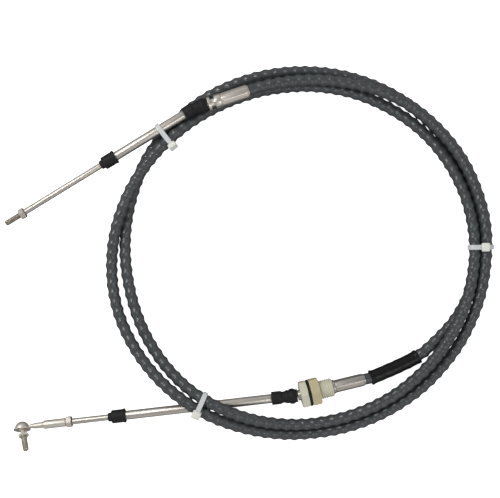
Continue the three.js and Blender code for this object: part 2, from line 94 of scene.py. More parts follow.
# Distances along each end, out from its swivel, as in the CAD model
LEAD_OUT = 6.0
SLEEVE_LENGTH = 52.9
SLEEVE_FROM_HUB = 5.5
TUBE_START = 7.0
SEAL_LENGTH = 17.5
SEAL_ON_TUBE = 9.0
JAM_NUT_LENGTH = 5.4
SEAL_NOSE_A = 112.2
JAM_NUT_A = 201.2
ROD_IN_TUBE_A = 32.0
ROD_PAST_NUT_A = 16.8
SEAL_NOSE_B = 190.5
JAM_NUT_B = 227.2
ROD_IN_TUBE_B = 75.0
ROD_IN_BARREL = 14.0

FITTING_START = 2.7
FITTING_HEAD_END = 10.2
FITTING_END = 35.7
FITTING_HEAD_FLATS = 24.6
FITTING_BORE = 5.6
GASKET_LENGTH = 2.0
GASKET_RADIUS = 13.3
LOCK_NUT_LENGTH = 9.4
LOCK_NUT_FLATS = 25.1

# Radii and lengths of the hubs and boots
FLANGE_RADIUS = 7.2
FLANGE_LENGTH = 3.2
GROOVE_RADIUS = 4.2
COLLAR_START = 7.6
COLLAR_RADIUS = 6.85
CRIMP_START = 13.9
CRIMP_FLATS_A = 12.4
CRIMP_FLATS_B = 12.1
END_RING_RADIUS = 5.7
SHANK_RADIUS = 5.3
THRUST_RING_RADIUS = 6.9
THRUST_RING_LENGTH = 2.2
BOOT_BORE = 4.5 + CLEARANCE
BOOT_CUFF = BOOT_BORE + 1.75
BOOT_ON_TUBE_A = 14.6
BOOT_ON_TUBE_B = 26.2

BALL_RADIUS = 4.0
BALL_ROOM = BALL_RADIUS + CLEARANCE
DOME_RADIUS = BALL_ROOM + 2.9
SOCKET_START = JAM_NUT_B + JAM_NUT_LENGTH + CLEARANCE
BARREL_END = SOCKET_START + 23.2
NECK_ROOT_END = BARREL_END + 8.4
BALL_AT = NECK_ROOT_END + 6.0 + DOME_RADIUS
DOME_OFFSET = 1.5
BRIM_START = 1.7
BRIM_END = 2.9
BRIM_RADIUS = 8.35
MOUTH_START = 2.0
HEAD_ROLL = 25
STUD_ROLL = 38
STUD_LEAN = 12
STUD_NECK_RADIUS = 2.2
STUD_COLLAR = (8.3, 10.8)
STUD_COLLAR_FLATS = 9.4
STUD_LENGTH = 26.5

TIE_HEAD = (5.4, 8.6, 8.2)

# Each tie: name, angle and radius on the coil, turn of its band about Z, and two angles in the plane of the
# band: where to look for the strand that the head sits on, and where on that strand it sits
TIES = (
    ("cable_tie_1", 137, 185, 128, 150, 150),
    ("cable_tie_2", 4.7, 180, 1, 80, 108),
    ("cable_tie_3", 235, 173, 246, 62, 62),
)


def linear(red, green, blue):
    """Linear colour of an sRGB colour given in 0 to 255."""

    def channel(value):
        value /= 255
        return value / 12.92 if value <= 0.04045 else ((value + 0.055) / 1.055) ** 2.4

    return tuple(channel(value) for value in (red, green, blue))


def length_property(name, description, default):
    return FloatProperty(
        name=name, description=description, default=default, min=0.0, precision=4, unit="LENGTH"
    )


def colour_property(name, description, default):
    return FloatVectorProperty(
        name=name, description=description, default=default, min=0.0, max=1.0, size=3, subtype="COLOR"
    )


def level_property(name, description, default):
    return FloatProperty(name=name, description=description, default=default, min=0.0)


class CableSizes(PropertyGroup):
    jacket_diameter: length_property("Jacket diameter", "Mean diameter of the corrugated jacket", 0.0112)
    corrugation_lead: length_property("Corrugation lead", "Advance of the corrugation in one turn", 0.010)
    corrugation_depth: length_property("Corrugation depth", "Height from valley to crest", 0.0010)
    sleeve_wall: length_property("Sleeve wall", "Thickness of the shrink sleeve", 0.0010)
    tube_diameter: length_property("Tube diameter", "Outside diameter of the sleeve tubes", 0.009)
    rod_diameter: length_property("Rod diameter", "Diameter of the sliding rods", 0.006)
    rod_thread_pitch: length_property("Rod thread pitch", "Pitch of the thread on the rod ends", 0.001)
    jam_nut_flats: length_property("Jam nut flats", "Distance across the flats of a jam nut", 0.010)
    fitting_thread: length_property("Fitting thread", "Diameter of the hull fitting's thread", 0.0188)
    fitting_pitch: length_property("Fitting pitch", "Pitch of the hull fitting's thread", 0.0022)
    tie_width: length_property("Tie width", "Width of a cable tie's strap", 0.0048)
    tie_thickness: length_property("Tie thickness", "Thickness of a cable tie's strap", 0.0012)
    round_sides: IntProperty(
        name="Round sides", description="Sides of a round turned piece", default=64, min=12, max=256
    )


class CableColours(PropertyGroup):
    jacket: colour_property("Jacket", "Corrugated plastic of the jacket", linear(63, 67, 69))
    rubber: colour_property("Rubber", "Boots, seals, gasket and sleeve", linear(26, 26, 27))
    steel: colour_property("Steel", "Tubes, rods, hubs and ball joint", linear(218, 212, 203))
    thread: colour_property("Threads", "Duller steel of the cut threads", linear(196, 188, 174))
    fitting: colour_property("Fitting", "Moulded hull fitting", linear(214, 211, 190))
    lock_nut: colour_property("Lock nut", "Moulded lock nut", linear(200, 190, 152))
    nylon: colour_property("Nylon", "Thick natural nylon of the tie heads", linear(236, 236, 230))
    strap: colour_property("Strap", "Thin natural nylon of the tie straps", linear(212, 216, 217))


class StudioSettings(PropertyGroup):
    key: level_property("Key light", "Power of the compact main light in watts", 6.4)
    fill: level_property("Fill light", "Power of the light opposite in watts", 2.6)
    sky: level_property("Sky", "Brightness of the studio straight overhead", 0.36)
    walls: level_property("Walls", "Brightness of the studio all round", 0.80)
    floor: level_property("Floor", "Brightness of the floor's own glow", 0.95)


def frame_between(start, end):
    """Place at one point with its X axis towards another, its Y axis level and its Z axis up."""
    way = end - start
    yaw = math.atan2(way.y, way.x)
    pitch = math.asin(way.z / way.length)
    turn = Matrix.Rotation(yaw, 4, "Z") @ Matrix.Rotation(-pitch, 4, "Y")
    return Matrix.Translation(start + COIL_MIDDLE) @ turn


def along(distance):
    return Matrix.Translation((distance, 0, 0))


def at_angle(angle, radius, height):
    """Point at an angle and radius from the middle of the coil."""
    angle = math.radians(angle)
    return COIL_MIDDLE + Vector((radius * math.cos(angle), radius * math.sin(angle), height))


def turned_about_x(degrees):
    return Matrix.Rotation(math.radians(degrees), 4, "X")


SIDE_A = frame_between(SWIVEL_A, ROD_TIP_A)
SIDE_B = frame_between(SWIVEL_B, TOWARDS_BALL_B)
HUB_A = frame_between(HUB_START_A, HUB_END_A)
HUB_B = frame_between(SWIVEL_B, HUB_END_B)
HUB_LENGTH_A = (HUB_END_A - HUB_START_A).length
HUB_LENGTH_B = (HUB_END_B - SWIVEL_B).length
SOCKET = SIDE_B @ along(BALL_AT) @ turned_about_x(HEAD_ROLL)
STUD = SIDE_B @ along(BALL_AT) @ turned_about_x(STUD_ROLL) @ Matrix.Rotation(math.radians(STUD_LEAN), 4, "Z")
X_TO_Y = Matrix.Rotation(math.radians(90), 4, "Z")


def spline_through(points, step):
    """Points about a step apart on the centripetal curve through the given points."""
    line = []
    ends = [2 * points[0] - points[1], *points, 2 * points[-1] - points[-2]]
    for before, start, end, after in zip(ends, ends[1:], ends[2:], ends[3:]):
        gaps = [max((b - a).length ** 0.5, 1e-4) for a, b in ((before, start), (start, end), (end, after))]
        leaving = (start - before) / gaps[0] - (end - before) / (gaps[0] + gaps[1]) + (end - start) / gaps[1]
        arriving = (end - start) / gaps[1] - (after - start) / (gaps[1] + gaps[2]) + (after - end) / gaps[2]
        leaving *= gaps[1]
        arriving *= gaps[1]
        square = 3 * (end - start) - 2 * leaving - arriving
        cube = 2 * (start - end) + leaving + arriving
        parts = max(2, math.ceil((end - start).length / step))
        for part in range(parts):
            u = part / parts
            line.append(start + leaving * u + square * u * u + cube * u ** 3)
    line.append(points[-1])
    return line


def distances_along(line):
    """Distance of each point from the start of a line."""
    distances = [0.0]
    for start, end in zip(line, line[1:]):
        distances.append(distances[-1] + (end - start).length)
    return distances


def spaced(line, start, end, count):
    """Points at even distances on a line, from one distance to another."""
    distances = distances_along(line)
    points = []
    at = 0
    for i in range(count + 1):
        wanted = min(start + (end - start) * i / count, distances[-1])
        while at < len(line) - 2 and distances[at + 1] < wanted:
            at += 1
        share = (wanted - distances[at]) / (distances[at + 1] - distances[at])
        points.append(line[at].lerp(line[at + 1], share))
    return points


def frames_along(points):
    """Places at points of a path, with X along it and no twist from one to the next."""
    frames = []
    side = None
    for i, point in enumerate(points):
        way = (points[min(i + 1, len(points) - 1)] - points[max(i - 1, 0)]).normalized()
        side = UP.cross(way).normalized() if side is None else (side - way * side.dot(way)).normalized()
        axes = Matrix((way, side, way.cross(side))).transposed().to_4x4()
        frames.append(Matrix.Translation(point) @ axes)
    return frames


def jacket_line():
    """Middle line of the jacket, in millimetres, from hub A to hub B."""
    around = [at_angle(angle, radius, height) for angle, radius, height in JACKET_ROUTE]
    points = [
        HUB_A @ Vector((HUB_LENGTH_A + CLEARANCE, 0, 0)),
        HUB_A @ Vector((HUB_LENGTH_A + LEAD_OUT, 0, 0)),
        *around,
        HUB_B @ Vector((HUB_LENGTH_B + LEAD_OUT, 0, 0)),
        HUB_B @ Vector((HUB_LENGTH_B + CLEARANCE, 0, 0)),
    ]
    return spline_through(points, 0.8)


JACKET_LINE = jacket_line()
JACKET_LENGTH = distances_along(JACKET_LINE)[-1]
SLEEVE_AT = JACKET_LENGTH - SLEEVE_FROM_HUB - SLEEVE_LENGTH


def smooth_step(low, high, value):
    share = min(max((value - low) / (high - low), 0.0), 1.0)
    return share * share * (3 - 2 * share)


def lathed(outline, sides):
    """Spin an outline of (x, radius) once about the X axis."""
    mesh = bmesh.new()
    verts = [mesh.verts.new((x, 0, radius)) for x, radius in outline]
    edges = [mesh.edges.new(pair) for pair in zip(verts, verts[1:])]
    bmesh.ops.spin(
        mesh, geom=verts + edges, axis=(1, 0, 0), cent=(0, 0, 0), angle=2 * math.pi, steps=sides,
        use_merge=True,
    )
    bmesh.ops.remove_doubles(mesh, verts=mesh.verts, dist=1e-4)
    bmesh.ops.recalc_face_normals(mesh, faces=mesh.faces)
    return mesh


def lofted(rows, sides):
    """Closed skin over rows of (place, radius). A radius is a number or a function of the angle."""
    mesh = bmesh.new()
    mesh.loops.layers.uv.new("UVMap")
    steps = len(rows) - 1
    bmesh.ops.create_grid(mesh, x_segments=steps, y_segments=sides, size=1.0, calc_uvs=True)
    for vert in mesh.verts:
        place, radius = rows[round((vert.co.x + 1) / 2 * steps)]
        angle = 2 * math.pi * (round((vert.co.y + 1) / 2 * sides) % sides) / sides
        reach = radius(angle) if callable(radius) else radius
        vert.co = place @ Vector((0, reach * math.cos(angle), reach * math.sin(angle)))
    bmesh.ops.remove_doubles(mesh, verts=mesh.verts, dist=1e-4)
    bmesh.ops.holes_fill(mesh, edges=[edge for edge in mesh.edges if edge.is_boundary], sides=0)
    bmesh.ops.recalc_face_normals(mesh, faces=mesh.faces)
    return mesh


def eased(mesh, width, angle=35, segments=2):
    """Round off every edge that is sharper than an angle."""
    limit = math.radians(angle)
    sharp = [edge for edge in mesh.edges if edge.is_manifold and edge.calc_face_angle() > limit]
    bmesh.ops.bevel(
        mesh,
        geom=sharp,
        offset=width,
        offset_type="OFFSET",
        segments=segments,
        profile=0.5,
        affect="EDGES",
        clamp_overlap=True,
        material=-1,
    )
    return mesh


def placed(mesh, place):
    bmesh.ops.transform(mesh, matrix=place, verts=mesh.verts)
    return mesh


def gathered(*meshes):
    """One mesh that holds all the given ones."""
    whole = bmesh.new()
    for mesh in meshes:
        part = bpy.data.meshes.new("part")
        mesh.to_mesh(part)
        mesh.free()
        whole.from_mesh(part)
        bpy.data.meshes.remove(part)
    return whole


def two_toned(first, second):
    """One mesh of two, where the faces of the second take the second material."""
    count = len(first.faces)
    whole = gathered(first, second)
    whole.faces.ensure_lookup_table()
    for face in whole.faces[count:]:
        face.material_index = 1
    return whole


def finished(mesh, name, node, body, material_slot, *materials, sharp=35):
    """Bring a mesh to metres and make it the piece that stands for a CAD node."""
    bmesh.ops.scale(mesh, vec=(0.001, 0.001, 0.001), verts=mesh.verts)
    data = bpy.data.meshes.new(name)
    mesh.to_mesh(data)
    mesh.free()
    data.shade_smooth()
    data.set_sharp_from_angle(angle=math.radians(sharp))
    for material in materials:
        data.materials.append(material)
    piece = bpy.data.objects.new(name, data)
    bpy.context.collection.objects.link(piece)
    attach(piece, body)
    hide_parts(node)
    return piece


def polygon(corners, across_flats, turn=0, corner_round=0.0):
    """Radius of a regular polygon at an angle. Turn 0 puts a corner at the top."""

    def radius(angle):
        part = 2 * math.pi / corners
        off = (angle - math.pi / 2 - math.radians(turn)) % part
        flat = across_flats / 2 / math.cos(off - part / 2)
        return min(flat, across_flats / 2 / math.cos(part / 2) - corner_round)

    return radius


def chamfered_by(radius, cone):
    """The lower of a radius function and a cone's radius."""
    return lambda angle: min(radius(angle), cone)


def nut_rows(place, start, end, bore, flats, chamfer):
    """Rows of a hexagon nut whose corners are turned down at both faces."""
    outline = polygon(6, flats)
    corner = flats / 2 / math.cos(math.pi / 6)
    face = flats / 2 - 0.15
    rows = [(0.0, bore), (0.0, bore + 0.5), (0.0, face)]
    for share in (0.0, 0.2, 0.4, 0.6, 0.8, 1.0):
        rows.append((chamfer * share, chamfered_by(outline, face + (corner - face) * share)))
    mirrored = [(end - start - x, radius) for x, radius in reversed(rows)]
    return [(place @ along(start + x), radius) for x, radius in [*rows, *mirrored]]


def thread_rows(place, start, end, major, pitch, depth, chamfer=0.0, steps=10):
    """Rows of a right-handed thread, run out over its first turn and chamfered at its end."""
    rows = []
    count = max(2, round((end - start) / pitch * steps))
    for i in range(count + 1):
        x = start + (end - start) * i / count
        end_cone = major - max(0.0, chamfer - (end - x))
        fade = smooth_step(0, pitch, x - start)

        def radius(angle, x=x, cone=end_cone, fade=fade):
            phase = ((x / pitch) - angle / (2 * math.pi)) % 1.0
            tooth = min(1.0, max(0.0, 1.25 - 2.5 * abs(phase - 0.5) * 1.1))
            return min(major - depth * (1 - tooth) * fade, cone)

        rows.append((place @ along(x), radius))
    return rows


def arithmetic(operation, swapped=False):
    """Method for one sign, or for the same sign with the socket on its right."""

    def act(self, other):
        return self._with(operation, other, self) if swapped else self._with(operation, self, other)

    return act


class Wave:
    """A socket that takes part in Python arithmetic."""

    def __init__(self, finish, socket):
        self.finish = finish
        self.socket = socket

    def _with(self, operation, first, second):
        return self.finish.node("ShaderNodeMath", {"operation": operation}, {0: first, 1: second})

    __add__ = arithmetic("ADD")
    __radd__ = arithmetic("ADD", swapped=True)
    __sub__ = arithmetic("SUBTRACT")
    __rsub__ = arithmetic("SUBTRACT", swapped=True)
    __mul__ = arithmetic("MULTIPLY")
    __truediv__ = arithmetic("DIVIDE")

    def cosine(self):
        return self._with("COSINE", self, 0.0)

    def clamped(self, low=0.0, high=1.0):
        lower = self._with("MAXIMUM", self, low)
        return self._with("MINIMUM", lower, high)

    def step_between(self, low, high):
        return ((self - low) / (high - low)).clamped()


class Finish:
    """A material with one Principled shader and short ways to add its other nodes."""

    def __init__(self, name, roughness, metallic=0.0, **uniform):
        self.material = bpy.data.materials.new(name)
        self.material.use_nodes = True
        self.nodes = self.material.node_tree.nodes
        self.links = self.material.node_tree.links
        self.shader = self.nodes["Principled BSDF"]
        self.shader.inputs["Roughness"].default_value = roughness
        self.shader.inputs["Metallic"].default_value = metallic
        for socket, value in uniform.items():
            self.shader.inputs[socket.replace("_", " ")].default_value = value

    def node(self, kind, settings=None, inputs=None, output=0):
        node = self.nodes.new(kind)
        for name, value in (settings or {}).items():
            setattr(node, name, value)
        for key, value in (inputs or {}).items():
            self.feed(node.inputs[key], value)
        return Wave(self, node.outputs[output])

    def feed(self, socket, value):
        if isinstance(value, Wave):
            self.links.new(value.socket, socket)
        else:
            socket.default_value = value

    def places(self, place=None):
        """Object coordinates, turned so that X runs along the given place."""
        at = self.node("ShaderNodeTexCoord", output="Object")
        if place is None:
            return at
        turn = place.to_3x3().inverted().to_euler()
        return self.node("ShaderNodeMapping", {"vector_type": "POINT"}, {"Vector": at, "Rotation": turn})

    def surface(self):
        """The piece's own UV map as two values."""
        at = self.node("ShaderNodeTexCoord", output="UV")
        apart = self.node("ShaderNodeSeparateXYZ", None, {0: at})
        return apart, Wave(self, apart.socket.node.outputs[1])

    def scaled(self, vector, scale):
        return self.node("ShaderNodeVectorMath", {"operation": "MULTIPLY"}, {0: vector, 1: scale})

    def cloud(self, vector, scale=1.0, detail=3.0, roughness=0.55):
        inputs = {"Vector": vector, "Scale": scale, "Detail": detail, "Roughness": roughness}
        return self.node("ShaderNodeTexNoise", None, inputs)

    def tint(self, factor, first, second):
        """Colour that goes from the first to the second as the factor goes from 0 to 1."""
        node = self.nodes.new("ShaderNodeMix")
        node.data_type = "RGBA"
        self.feed(node.inputs[0], factor)
        for socket, colour in ((node.inputs[6], first), (node.inputs[7], second)):
            self.feed(socket, colour if isinstance(colour, Wave) else (*colour, 1.0))
        return Wave(self, node.outputs[2])

    def colour(self, value):
        self.feed(self.shader.inputs["Base Color"], value)

    def rough(self, value):
        self.feed(self.shader.inputs["Roughness"], value)

    def relief(self, height, distance, strength=1.0):
        inputs = {"Height": height, "Distance": distance, "Strength": strength}
        self.feed(self.shader.inputs["Normal"], self.node("ShaderNodeBump", None, inputs))


def shade(colour, factor):
    return tuple(min(1.0, value * factor) for value in colour)


def jacket_finish(colours, lead):
    """Satin extruded plastic, polished on the crests, with dusty patches and painted shade in the valleys.
    """
    finish = Finish("jacket_plastic", 0.4, Specular_IOR_Level=0.6)
    along_jacket, around = finish.surface()
    turns = along_jacket * (JACKET_LENGTH / lead)
    crest = ((turns - around) * (2 * math.pi)).cosine() * 0.5 + 0.5
    mottle = finish.cloud(finish.places(), 260.0, 4.0)
    patches = finish.cloud(finish.places(), 22.0, 2.0)
    base = tuple(colours.jacket)
    worn = finish.tint(mottle.step_between(0.3, 0.7), shade(base, 0.74), shade(base, 1.22))
    dusty = finish.tint(patches.step_between(0.4, 0.75) * 0.35, worn, shade(base, 1.35))
    # Painted shade: the valleys of the corrugation are painted darker than the crests.
    finish.colour(finish.tint((1 - crest) * 0.35, dusty, shade(base, 0.6)))
    finish.rough(0.4 - crest * 0.08 + (mottle - 0.5) * 0.25)
    finish.relief(finish.cloud(finish.places(), 520.0, 4.0, 0.6), 0.00035, 0.5)
    return finish.material


def rubber_finish(name, colour, roughness, grain=900.0):
    """Black moulded rubber with a dusty bloom on it."""
    finish = Finish(name, roughness, Specular_IOR_Level=0.3)
    dust = finish.cloud(finish.places(), 90.0, 5.0, 0.65)
    speckle = finish.cloud(finish.places(), grain, 2.0)
    bloom = (dust.step_between(0.5, 0.8) * 0.5 + speckle.step_between(0.6, 0.8) * 0.25).clamped()
    finish.colour(finish.tint(bloom, shade(colour, 0.75), shade(colour, 1.9)))
    finish.rough(roughness - 0.1 + dust * 0.2)
    finish.relief(speckle, 0.00015, 0.4)
    return finish.material


def steel_finish(name, colour, place, roughness=0.3, turned=True):
    """Bright stainless with fine marks round the axis, or lengthwise drawing marks."""
    finish = Finish(name, roughness, 1.0)
    at = finish.places(place)
    stretch = (5200.0, 60.0, 60.0) if turned else (25.0, 2600.0, 2600.0)
    marks = finish.cloud(finish.scaled(at, stretch), 1.0, 3.0, 0.6)
    smears = finish.cloud(finish.places(), 75.0, 3.0)
    base = finish.tint(smears.step_between(0.35, 0.7), shade(colour, 0.93), colour)
    finish.colour(finish.tint(marks.step_between(0.4, 0.8) * 0.25, base, shade(colour, 0.78)))
    finish.rough(roughness + (smears - 0.5) * 0.06 + (marks - 0.5) * 0.05)
    finish.relief(marks, 0.000006, 0.15)
    return finish.material


def thread_finish(name, colour, place):
    """Cut thread, duller than the rod, with dark grease in random patches."""
    finish = Finish(name, 0.38, 1.0)
    grease = finish.cloud(finish.places(place), 420.0, 4.0, 0.6)
    finish.colour(finish.tint(grease.step_between(0.4, 0.75), colour, shade(colour, 0.5)))
    finish.rough(0.3 + grease * 0.22)
    finish.relief(grease, 0.00006, 0.4)
    return finish.material


def moulded_finish(name, colour, shaded):
    """Moulded plastic with a faint haze and small scuffs."""
    finish = Finish(name, 0.45, Specular_IOR_Level=0.45)
    haze = finish.cloud(finish.places(), 65.0, 4.0, 0.6)
    scuffs = finish.cloud(finish.scaled(finish.places(), (900.0, 240.0, 240.0)), 1.0, 3.0)
    base = finish.tint(haze.step_between(0.3, 0.75), colour, shade(colour, shaded))
    finish.colour(finish.tint(scuffs.step_between(0.62, 0.8) * 0.35, base, shade(colour, 0.72)))
    finish.rough(0.38 + haze * 0.16)
    finish.relief(scuffs, 0.00008, 0.25)
    return finish.material


def nylon_finish(name, colour):
    """Milky natural nylon."""
    finish = Finish(name, 0.34, Specular_IOR_Level=0.5)
    cloudy = finish.cloud(finish.places(), 180.0, 3.0)
    finish.colour(finish.tint(cloudy.step_between(0.35, 0.75), colour, shade(colour, 0.93)))
    finish.rough(0.3 + cloudy * 0.1)
    finish.relief(finish.cloud(finish.places(), 700.0, 2.0), 0.00003, 0.15)
    return finish.material


def sizes_of(context):
    """The sizes with their lengths in millimetres."""
    sizes = context.scene.steering_cable_sizes
    lengths = {name: getattr(sizes, name) * 1000 for name in sizes.__annotations__}
    return SimpleNamespace(**{**lengths, "round_sides": sizes.round_sides})


def colours_of(context):
    return context.scene.steering_cable_colours


def add_light(context, name, place, size, power):
    lamp = bpy.data.lights.new(name, "AREA")
    lamp.shape = "SQUARE"
    lamp.size = size
    lamp.energy = power
    holder = bpy.data.objects.new(name, lamp)
    holder.location = place
    holder.rotation_euler = Vector(place).to_track_quat("Z", "Y").to_euler()
    context.collection.objects.link(holder)


def add_sky(context, studio):
    world = bpy.data.worlds.new("studio")
    world.use_nodes = True
    nodes = world.node_tree.nodes
    links = world.node_tree.links
    way = nodes.new("ShaderNodeTexCoord")
    apart = nodes.new("ShaderNodeSeparateXYZ")
    ramp = nodes.new("ShaderNodeValToRGB")
    half = nodes.new("ShaderNodeMath")
    half.operation = "MULTIPLY_ADD"
    half.inputs[1].default_value = 0.5
    half.inputs[2].default_value = 0.5
    links.new(way.outputs["Generated"], apart.inputs[0])
    links.new(apart.outputs["Z"], half.inputs[0])
    links.new(half.outputs[0], ramp.inputs[0])
    links.new(ramp.outputs[0], nodes["Background"].inputs["Color"])
    walls = studio.walls
    sky = studio.sky
    stops = (
        (0.0, 0.15 * walls), (0.44, 0.3 * walls), (0.51, 0.95 * walls), (0.62, walls),
        (0.76, 0.75 * walls), (0.87, sky), (0.96, 1.15 * sky), (0.985, 1.1 * sky), (1.0, 0.5 * sky),
    )
    while len(ramp.color_ramp.elements) < len(stops):
        ramp.color_ramp.elements.new(0.5)
    for element, (position, level) in zip(ramp.color_ramp.elements, stops):
        element.position = position
        element.color = (level, level, level, 1.0)
    context.scene.world = world


class CABLE_OT_stage(Operator):
    """Make the white floor, the soft lights and the camera."""

    bl_idname = "steering_cable.stage"
    bl_label = "Floor, Lights and Camera"

    def execute(self, context):
        studio = context.scene.steering_cable_studio
        context.scene.view_settings.view_transform = "Standard"
        camera = bpy.data.cameras.new("camera")
        camera.sensor_fit = "HORIZONTAL"
        camera.sensor_width = 36.0
        camera.lens = 36.0 * 990 / 500
        viewer = bpy.data.objects.new("camera", camera)
        viewer.location = (0.0015, 0.018, 1.0)
        context.collection.objects.link(viewer)
        context.scene.camera = viewer

        mesh = bmesh.new()
        bmesh.ops.create_grid(mesh, x_segments=8, y_segments=8, size=2.5)
        data = bpy.data.meshes.new("floor")
        mesh.to_mesh(data)
        mesh.free()
        floor = bpy.data.objects.new("floor", data)
        floor.location = (0, 0, -0.0004)
        context.collection.objects.link(floor)
        paint = Finish("white_floor", 0.9, Emission_Strength=studio.floor)
        paint.colour((0.9, 0.9, 0.9, 1.0))
        paint.feed(paint.shader.inputs["Emission Color"], (1.0, 1.0, 1.0, 1.0))
        data.materials.append(paint.material)
        floor.visible_glossy = False
        floor.visible_diffuse = False

        add_light(context, "key_light", (-0.75, 0.45, 1.0), 0.22, studio.key)
        add_light(context, "fill_light", (0.55, -0.55, 1.1), 0.22, studio.fill)
        add_sky(context, studio)
        return {"FINISHED"}


def make_jacket(sizes, colours):
    lead = sizes.corrugation_lead
    depth = sizes.corrugation_depth
    mean = sizes.jacket_diameter / 2
    rings = round(JACKET_LENGTH / lead * 10)
    points = spaced(JACKET_LINE, 0, JACKET_LENGTH, rings)
    rows = []
    for i, place in enumerate(frames_along(points)):
        at = JACKET_LENGTH * i / rings
        ripple = smooth_step(4, 9, at) * smooth_step(4, 9, SLEEVE_AT + SLEEVE_LENGTH + 6 - at)

        def radius(angle, at=at, ripple=ripple):
            wave = math.cos(2 * math.pi * at / lead - angle)
            return mean + depth / 2 * ripple * (wave + 0.25 * wave * wave - 0.12)

        rows.append((place, radius))
    finish = jacket_finish(colours, lead)
    piece = finished(
        lofted(rows, 20), "corrugated_jacket", "jacket", "cable", "jacket", finish, sharp=80
    )
    path = [point / 1000 for point in points[::4]]
    if (len(points) - 1) % 4:
        path.append(points[-1] / 1000)


def make_sleeve(sizes, colours):
    inner = sizes.jacket_diameter / 2 + CLEARANCE
    outer = inner + sizes.sleeve_wall
    steps = 90
    points = spaced(JACKET_LINE, SLEEVE_AT, SLEEVE_AT + SLEEVE_LENGTH, steps)
    frames = frames_along(points)
    rows = [(frames[0], inner), (frames[0], outer - 0.1)]
    for i, place in enumerate(frames):
        at = SLEEVE_LENGTH * i / steps
        roll = 0.45 * (smooth_step(4.5, 1.5, at) + smooth_step(4.0, 1.0, SLEEVE_LENGTH - at))
        over = 0.12 * math.sin(2 * math.pi * at / 10.0) * smooth_step(4, 9, at)

        def radius(angle, at=at, roll=roll, over=over):
            spot = Vector((at * 0.16, 1.6 * math.cos(angle), 1.6 * math.sin(angle)))
            return outer + roll + over + 0.16 * noise.noise(spot)

        rows.append((place, radius))
    rows += [(frames[-1], outer - 0.1), (frames[-1], inner)]
    skin = eased(lofted(rows, 40), 0.25, 40)
    finish = rubber_finish("shrink_sleeve", shade(colours.rubber, 0.16), 0.4, 500.0)
    return finished(skin, "shrink_sleeve", "cable_sleeve", "cable", "black_rubber", finish)


class CABLE_OT_jacket(Operator):
    """Make the corrugated jacket along its route, with the shrink sleeve beside hub B."""

    bl_idname = "steering_cable.jacket"
    bl_label = "Jacket and Sleeve"

    def execute(self, context):
        sizes = sizes_of(context)
        colours = colours_of(context)
        sleeve = make_sleeve(sizes, colours)
        make_jacket(sizes, colours)
        return {"FINISHED"}


class CABLE_OT_tubes(Operator):
    """Make the two bright sleeve tubes."""

    bl_idname = "steering_cable.tubes"
    bl_label = "Sleeve Tubes"

    def execute(self, context):
        sizes = sizes_of(context)
        steel = tuple(colours_of(context).steel)
        radius = sizes.tube_diameter / 2
        bore = sizes.rod_diameter / 2 + CLEARANCE
        ends = (("a", SIDE_A, SEAL_NOSE_A), ("b", SIDE_B, SEAL_NOSE_B))
        for letter, side, nose in ends:
            mouth = nose - SEAL_LENGTH + SEAL_ON_TUBE
            outline = [
                (TUBE_START, bore), (TUBE_START, radius), (mouth, radius), (mouth, bore), (TUBE_START, bore)
            ]
            tube = placed(eased(lathed(outline, sizes.round_sides), 0.3), side)
            finish = steel_finish(f"drawn_steel_{letter}", shade(steel, 0.88), side, 0.4, turned=False)
            finished(tube, f"bright_tube_{letter}", f"sleeve_tube_{letter}", "cable", "steel", finish)
        return {"FINISHED"}


def wavy(radius, height, waves):
    return lambda angle: radius + height * math.sin(waves * angle + 0.7) * math.cos(angle)


class CABLE_OT_seals(Operator):
    """Make the rubber wiper seals at the mouths of the tubes."""

    bl_idname = "steering_cable.seals"
    bl_label = "Wiper Seals"

    def execute(self, context):
        sizes = sizes_of(context)
        finish = rubber_finish("wiper_rubber", tuple(colours_of(context).rubber), 0.62)
        on_tube = sizes.tube_diameter / 2 + CLEARANCE
        on_rod = sizes.rod_diameter / 2 + CLEARANCE
        for letter, side, nose in (("a", SIDE_A, SEAL_NOSE_A), ("b", SIDE_B, SEAL_NOSE_B)):
            lip = nose - SEAL_LENGTH
            outer = on_tube + 1.8
            mouth = lip + SEAL_ON_TUBE + CLEARANCE
            flare = wavy(outer + 0.35, 0.08, 3 if letter == "a" else 5)
            rows = [
                (lip + 0.4, on_tube), (lip + 0.1, on_tube + 0.6), (lip, outer + 0.1), (lip + 0.25, flare),
                (lip + 1.3, flare), (lip + 2.4, outer + 0.1), (lip + 3.2, outer - 0.12), (lip + 4.2, outer),
                (nose - 4.6, outer), (nose - 4.1, outer - 0.12), (nose - 2.9, on_rod + 1.25),
                (nose - 2.4, on_rod + 1.1), (nose - 0.7, on_rod + 1.05), (nose - 0.2, on_rod + 0.75),
                (nose, on_rod + 0.35), (nose - 0.1, on_rod), (mouth, on_rod), (mouth, on_tube),
                (lip + 0.4, on_tube),
            ]
            seal = lofted([(side @ along(x), radius) for x, radius in rows], sizes.round_sides)
            finished(
                eased(seal, 0.15, 50), f"rubber_wiper_{letter}", f"wiper_seal_{letter}", "cable",
                "black_rubber", finish, sharp=60,
            )
        return {"FINISHED"}


